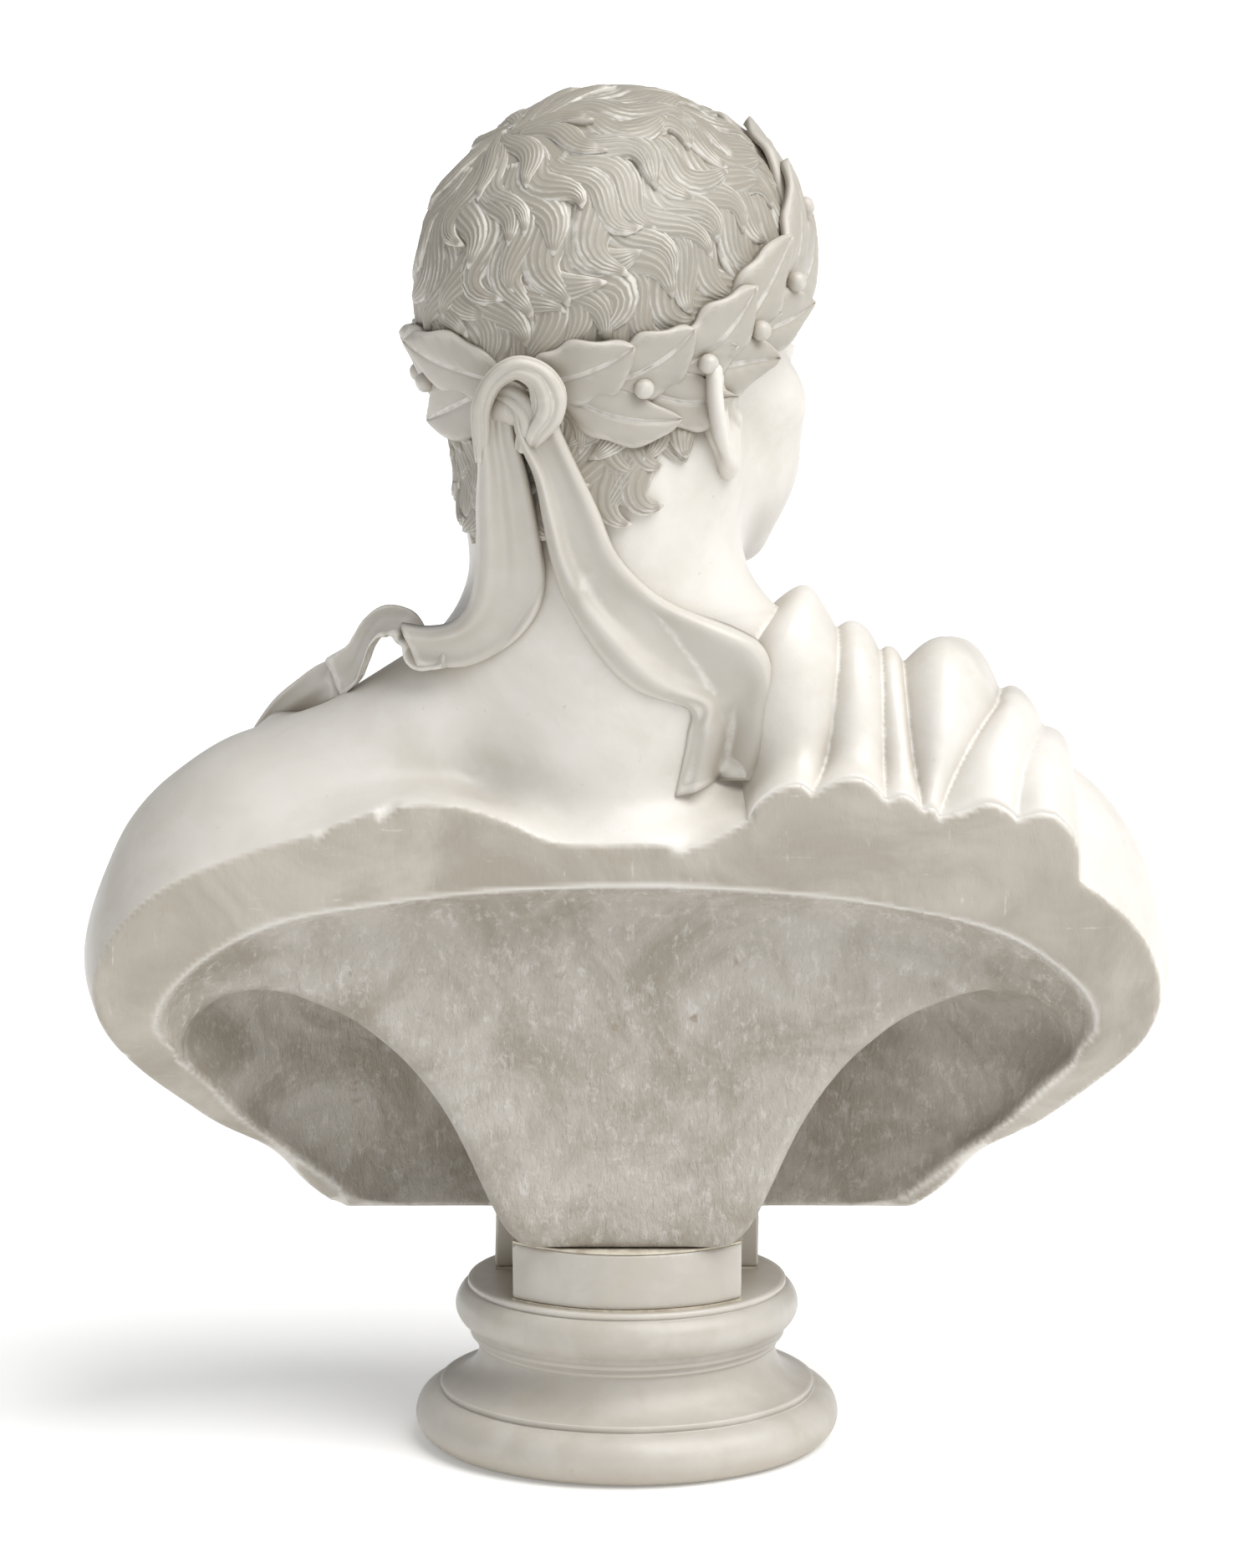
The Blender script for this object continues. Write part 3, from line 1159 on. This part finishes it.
def marble(name, base, shade, pale, relief_low, relief_high, dust):
    """Old white marble: clouded, paler in the tool cuts, a little brown where the surface rolls in."""
    g = Graph(name)
    clouds = g.range(g.noise(9, 5, 0.6, 0.6), 0.35, 0.68)
    patches = g.range(g.noise(38, 4, 0.6, 0.3), 0.42, 0.66)
    colour = g.mix(g.math("MULTIPLY", clouds, 0.75), base, shade)
    colour = g.tint(colour, patches, 0.35, pale)
    stains = g.range(g.noise(14, 6, 0.7, 1.2), 0.60, 0.74)
    colour = g.tint(colour, stains, 0.30, (0.50, 0.43, 0.32))
    colour = g.tint(colour, g.attribute("age"), 0.85, (0.262, 0.236, 0.19))
    relief = g.attribute("relief")
    dirt = g.range(g.occlusion(0.03), 0.25, 0.9, 0.55, 0.0)
    colour = g.mix(dirt, colour, (0.36, 0.31, 0.235))
    cut = g.range(relief, relief_low, relief_high)
    cut = g.math("MULTIPLY", cut, g.range(g.noise(170, 3), 0.3, 0.6, 0.35, 1.0))
    colour = g.tint(colour, cut, dust, (0.76, 0.735, 0.69))
    worn = g.range(relief, -0.12, -0.5)
    colour = g.tint(colour, worn, 0.3, (0.74, 0.71, 0.66))
    scratches = g.range(g.noise(60, 6, 0.75, 0.2, (6, 1, 2.2)), 0.66, 0.74)
    colour = g.tint(colour, scratches, 0.3, (0.78, 0.76, 0.73))
    specks = g.range(g.noise(260, 2, 0.5), 0.72, 0.78)
    colour = g.tint(colour, specks, 0.25, (0.38, 0.30, 0.21))
    tooled, sawn = g.attribute("tooled"), g.attribute("sawn")
    colour = g.mix(sawn, colour, sawn_colour(g))
    colour = g.mix(tooled, colour, g.mix(dirt, tooled_colour(g), (0.20, 0.165, 0.12)))
    rough = g.math("ADD", g.range(g.noise(24, 4), 0.3, 0.7, 0.34, 0.47), g.math("MULTIPLY", tooled, 0.35))
    rough = g.math("ADD", rough, g.math("MULTIPLY", sawn, 0.18))
    normal = g.bump(g.noise(700, 2), 0.12, 0.0004)
    normal = g.bump(g.noise(70, 4), 0.12, 0.0016, normal)
    strokes = g.noise(150, 4, 0.7, 0.4, (1.8, 1, 0.7))
    uneven = g.math("MULTIPLY", strokes, g.math("ADD", tooled, g.math("MULTIPLY", sawn, 0.25)))
    normal = g.bump(uneven, 0.55, 0.0030, normal)
    return g.finish(colour, rough, normal, Subsurface_Weight=0.12, Subsurface_Scale=0.004,
                    Subsurface_Radius=(1.0, 0.75, 0.55), IOR=1.5)


def sawn_colour(g):
    """The sawn rim: duller and browner than the skin, with pale crossing scratches."""
    soft = g.range(g.noise(11, 5, 0.65, 0.9), 0.34, 0.68)
    colour = g.mix(soft, (0.455, 0.422, 0.372), (0.335, 0.302, 0.25))
    grime = g.range(g.noise(30, 6, 0.75, 0.6), 0.55, 0.74)
    colour = g.tint(colour, grime, 0.5, (0.35, 0.30, 0.225))
    for stretch, scale in (((1, 1, 9), 34), ((7, 1, 1.4), 30)):
        lines = g.range(g.noise(scale, 6, 0.8, 0.35, stretch), 0.62, 0.70)
        colour = g.tint(colour, lines, 0.4, (0.72, 0.70, 0.66))
    return colour


def tooled_colour(g):
    """Grey-white chiselled stone with brown flecks and pale bruises."""
    soft = g.range(g.noise(16, 5, 0.65, 0.8), 0.32, 0.7)
    colour = g.mix(soft, (0.455, 0.425, 0.385), (0.29, 0.258, 0.21))
    bruises = g.range(g.noise(190, 5, 0.8, 0.3, (1, 1, 0.6)), 0.50, 0.70)
    colour = g.tint(colour, bruises, 0.5, (0.64, 0.62, 0.59))
    flecks = g.range(g.noise(75, 3, 0.6, 0.4), 0.66, 0.76)
    colour = g.tint(colour, flecks, 0.6, (0.26, 0.20, 0.14))
    low = g.range(g.attribute("relief"), 0.05, 0.5)
    return g.tint(colour, low, 0.3, (0.26, 0.22, 0.17))


def bust_marble():
    return marble("marble_bust", base=(0.69, 0.663, 0.62), shade=(0.585, 0.552, 0.495),
                  pale=(0.745, 0.728, 0.695), relief_low=0.05, relief_high=0.35, dust=0.62)


def tooled_marble():
    g = Graph("marble_tooled")
    colour = tooled_colour(g)
    fine = g.noise(420, 3, 0.7, 0.2, (1.6, 1, 0.8))
    strokes = g.noise(150, 4, 0.7, 0.4, (1.8, 1, 0.7))
    normal = g.bump(strokes, 0.55, 0.0030)
    normal = g.bump(fine, 0.5, 0.0012, normal)
    return g.finish(colour, g.range(g.noise(40, 3), 0.3, 0.7, 0.68, 0.85), normal, IOR=1.5)


def socle_marble():
    return marble("marble_socle", base=(0.50, 0.472, 0.43), shade=(0.405, 0.372, 0.32),
                  pale=(0.575, 0.555, 0.52), relief_low=0.05, relief_high=0.3, dust=0.2)


def plaster():
    g = Graph("plaster_bed")
    colour = g.mix(g.range(g.noise(120, 4), 0.35, 0.7), (0.62, 0.57, 0.47), (0.42, 0.36, 0.28))
    rough = g.range(g.noise(200, 3), 0.3, 0.7, 0.75, 0.95)
    return g.finish(colour, rough, g.bump(g.noise(500, 3), 0.5, 0.0008))


def steel():
    g = Graph("steel_dowel")
    colour = g.mix(g.range(g.noise(90, 4), 0.4, 0.7), (0.34, 0.33, 0.32), (0.22, 0.15, 0.10))
    rough = g.range(g.noise(150, 3), 0.3, 0.7, 0.35, 0.6)
    return g.finish(colour, rough, g.bump(g.noise(600, 2), 0.2, 0.0003), Metallic=1.0)


def dress(materials):
    """Gives every piece and every carried-over CAD node the material of its slot."""
    nodes = {"socle_bed": "plaster", "bust_bed": "plaster", "dowel_grout": "plaster",
             "dowel": "steel", "washer": "steel", "nut": "steel"}
    for obj in bpy.context.scene.objects:
        if obj.type != "MESH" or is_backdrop(obj):
            continue
        slot = obj.get("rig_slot") or nodes.get(obj.name, "bust_marble")
        obj.data.materials.clear()
        obj.data.materials.append(materials[slot])
        if obj.name in nodes:
            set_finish(obj, slot)


# ---------- stage ----------

def make_camera():
    distance, height, elevation = 2.8, 0.3205, math.radians(9.5)
    camera = bpy.data.objects.new("camera", bpy.data.cameras.new("camera"))
    bpy.context.scene.collection.objects.link(camera)
    target = Vector((0, 0, height))
    back = Vector((0, math.cos(elevation), math.sin(elevation)))
    camera.location = target + back * distance
    camera.rotation_mode = "QUATERNION"
    camera.rotation_quaternion = (-back).to_track_quat("-Z", "Y")
    camera.data.lens = 134.4
    bpy.context.scene.camera = camera


def make_floor():
    mesh = bpy.data.meshes.new("floor")
    s = 40.0
    mesh.from_pydata([(-s, -s, 0), (s, -s, 0), (s, s, 0), (-s, s, 0)], [], [(0, 1, 2, 3)])
    floor = bpy.data.objects.new("floor", mesh)
    bpy.context.scene.collection.objects.link(floor)
    floor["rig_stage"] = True
    g = Graph("floor_pale")
    colour = g.mix(g.noise(2, 2), (0.90, 0.90, 0.895), (0.92, 0.92, 0.915))
    grain = g.bump(g.noise(300, 2), 0.02, 0.0005)
    mesh.materials.append(g.finish(colour, 0.9, grain, Emission_Color=(1, 1, 1, 1), Emission_Strength=0.2))


def make_sun(name, strength, azimuth, height, angle, colour=(1, 1, 1)):
    light = bpy.data.objects.new(name, bpy.data.lights.new(name, "SUN"))
    light.data.energy = strength
    light.data.angle = math.radians(angle)
    light.data.color = colour
    a, h = math.radians(azimuth), math.radians(height)
    to_light = Vector((math.sin(a) * math.cos(h), -math.cos(a) * math.cos(h), math.sin(h)))
    light.rotation_mode = "QUATERNION"
    light.rotation_quaternion = (-to_light).to_track_quat("-Z", "Y")
    bpy.context.scene.collection.objects.link(light)


def make_light():
    world = bpy.data.worlds.new("studio")
    world.use_nodes = True
    world.node_tree.nodes["Background"].inputs["Color"].default_value = (0.97, 0.985, 1.0, 1)
    world.node_tree.nodes["Background"].inputs["Strength"].default_value = 0.40
    bpy.context.scene.world = world
    make_sun("key", 3.5, 236, 56, 55, (1.0, 0.992, 0.98))
    bpy.context.scene.view_settings.view_transform = "Standard"


# ---------- build ----------

make_camera()
make_light()
make_floor()
make_torso()
make_pillar()
make_head()
make_ear(1, "ear_left", "left_ear")
make_ear(-1, "ear_right", "right_ear")
make_hair()
make_wreath()
make_knot()
make_tails()
make_cloak()
make_socle()
make_block()
dress({"bust_marble": bust_marble(), "tooled_marble": tooled_marble(), "socle_marble": socle_marble(),
       "plaster": plaster(), "steel": steel()})
